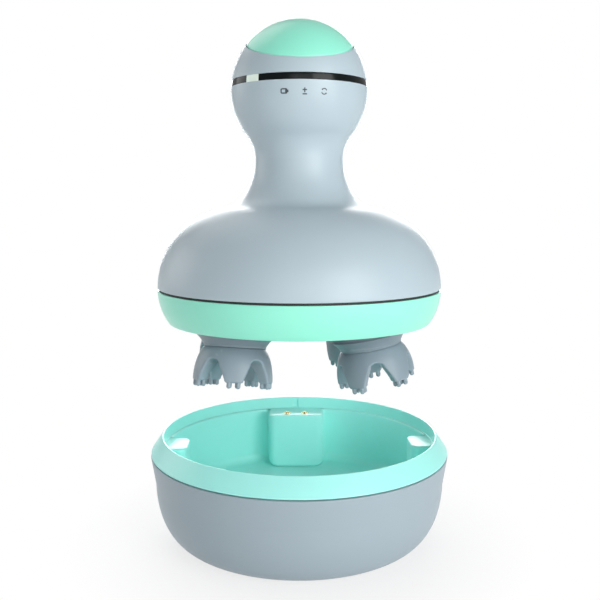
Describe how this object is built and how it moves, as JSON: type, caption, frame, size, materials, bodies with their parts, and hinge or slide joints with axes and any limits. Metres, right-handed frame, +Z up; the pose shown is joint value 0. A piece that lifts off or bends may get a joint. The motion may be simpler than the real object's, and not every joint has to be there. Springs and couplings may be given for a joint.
{
  "type": "electric scalp massager",
  "caption": "Mushroom-shaped electric scalp massager with turning claw heads, a teal power button and a lit band, lifted off its round charging cradle.",
  "frame": {"origin": "middle of the cradle's underside, on the plane its feet stand on", "axes": "+Z up; -Y is the front, with the lit window and the icons' side; the contacts are at +Y"},
  "size_m": [0.1138, 0.1138, 0.194],
  "materials": {
    "grey_shell": "satin, fine moulded grain",
    "teal_trim": "soft gloss",
    "teal_bowl": "satin",
    "claw_rubber": "satin silicone",
    "collar_rubber": "satin silicone",
    "band_black": "high gloss",
    "lit_window": "diffusing",
    "gear_nylon": "matte",
    "frame_plastic": "matte",
    "black_plastic": "matte",
    "black_rubber": "matte",
    "steel": "bright",
    "brass": "gold plated",
    "board": "solder mask",
    "cell_sleeve": "shrink sleeve"
  },
  "bodies": {
    "cradle": {"cradle_shell": "grey_shell", "cradle_liner": "teal_bowl", "contact_sleeves": "brass", "pin_spring_left": "steel", "pin_spring_right": "steel", "pin_carrier": "black_plastic", "contact_board": "board", "charge_board": "board", "charging_socket": "steel", "rubber_feet": "black_rubber", "cradle_screws": "steel"},
    "massager": {"main_housing": "grey_shell", "ball_cover": "grey_shell", "indicator_ring": "band_black", "status_lens": "lit_window", "tact_switch": "steel", "switch_board": "board", "control_board": "board", "status_led": "lit_window", "board_screws": "steel", "battery": "cell_sleeve", "battery_holder": "black_plastic", "motor": "steel", "gearbox": "steel", "motor_screws": "steel", "gear_tray": "frame_plastic", "gear_cover": "frame_plastic", "shaft_bushes": "brass", "shaft_seals": "black_rubber", "base_plate": "frame_plastic", "base_ring": "teal_trim", "bell_seal": "black_rubber", "contact_pads": "brass", "plate_screws": "steel", "frame_screws": "steel"},
    "button": {"power_button": "teal_trim", "switch_plunger": "black_plastic"},
    "drive": {"output_shaft": "steel", "sun_gear": "gear_nylon"},
    "pin_left": {"contact_pin_left": "brass"},
    "pin_right": {"contact_pin_right": "brass"},
    "head_1": {"head_gear_1": "gear_nylon", "head_shaft_1": "steel", "head_collar_1": "collar_rubber", "massage_claw_1": "claw_rubber"},
    "head_2": {"head_gear_2": "gear_nylon", "head_shaft_2": "steel", "head_collar_2": "collar_rubber", "massage_claw_2": "claw_rubber"},
    "head_3": {"head_gear_3": "gear_nylon", "head_shaft_3": "steel", "head_collar_3": "collar_rubber", "massage_claw_3": "claw_rubber"},
    "head_4": {"head_gear_4": "gear_nylon", "head_shaft_4": "steel", "head_collar_4": "collar_rubber", "massage_claw_4": "claw_rubber"}
  },
  "joints": [
    {"name": "dock_slide", "type": "slide", "parent": "cradle", "child": "massager", "axis": [0, 0, 1], "range_m": [-0.0484, 0.03]},
    {"name": "button_press", "type": "slide", "parent": "massager", "child": "button", "axis": [0, 0.3584, -0.9336], "range_m": [0, 0.0008], "stiffness_N_per_m": 1200, "springref_m": -0.0006},
    {"name": "drive_spin", "type": "hinge", "parent": "massager", "child": "drive", "pos_m": [0, 0, 0.0967], "axis": [0, 0, 1], "continuous": true},
    {"name": "head_spin_1", "type": "hinge", "parent": "massager", "child": "head_1", "pos_m": [0.02298, 0.02298, 0.0852], "axis": [0, 0, 1], "continuous": true},
    {"name": "head_spin_2", "type": "hinge", "parent": "massager", "child": "head_2", "pos_m": [-0.02298, 0.02298, 0.0852], "axis": [0, 0, 1], "continuous": true},
    {"name": "head_spin_3", "type": "hinge", "parent": "massager", "child": "head_3", "pos_m": [-0.02298, -0.02298, 0.0852], "axis": [0, 0, 1], "continuous": true},
    {"name": "head_spin_4", "type": "hinge", "parent": "massager", "child": "head_4", "pos_m": [0.02298, -0.02298, 0.0852], "axis": [0, 0, 1], "continuous": true},
    {"name": "contact_pin_left_press", "type": "slide", "parent": "cradle", "child": "pin_left", "axis": [0, 0, -1], "range_m": [0, 0.0008], "stiffness_N_per_m": 300, "springref_m": -0.001, "deforming": ["pin_spring_left"]},
    {"name": "contact_pin_right_press", "type": "slide", "parent": "cradle", "child": "pin_right", "axis": [0, 0, -1], "range_m": [0, 0.0008], "stiffness_N_per_m": 300, "springref_m": -0.001, "deforming": ["pin_spring_right"]}
  ],
  "couplings": [
    {"joint": "head_spin_1", "follows": "drive_spin", "ratio": -1.3214},
    {"joint": "head_spin_2", "follows": "drive_spin", "ratio": -1.3214},
    {"joint": "head_spin_3", "follows": "drive_spin", "ratio": -1.3214},
    {"joint": "head_spin_4", "follows": "drive_spin", "ratio": -1.3214}
  ]
}
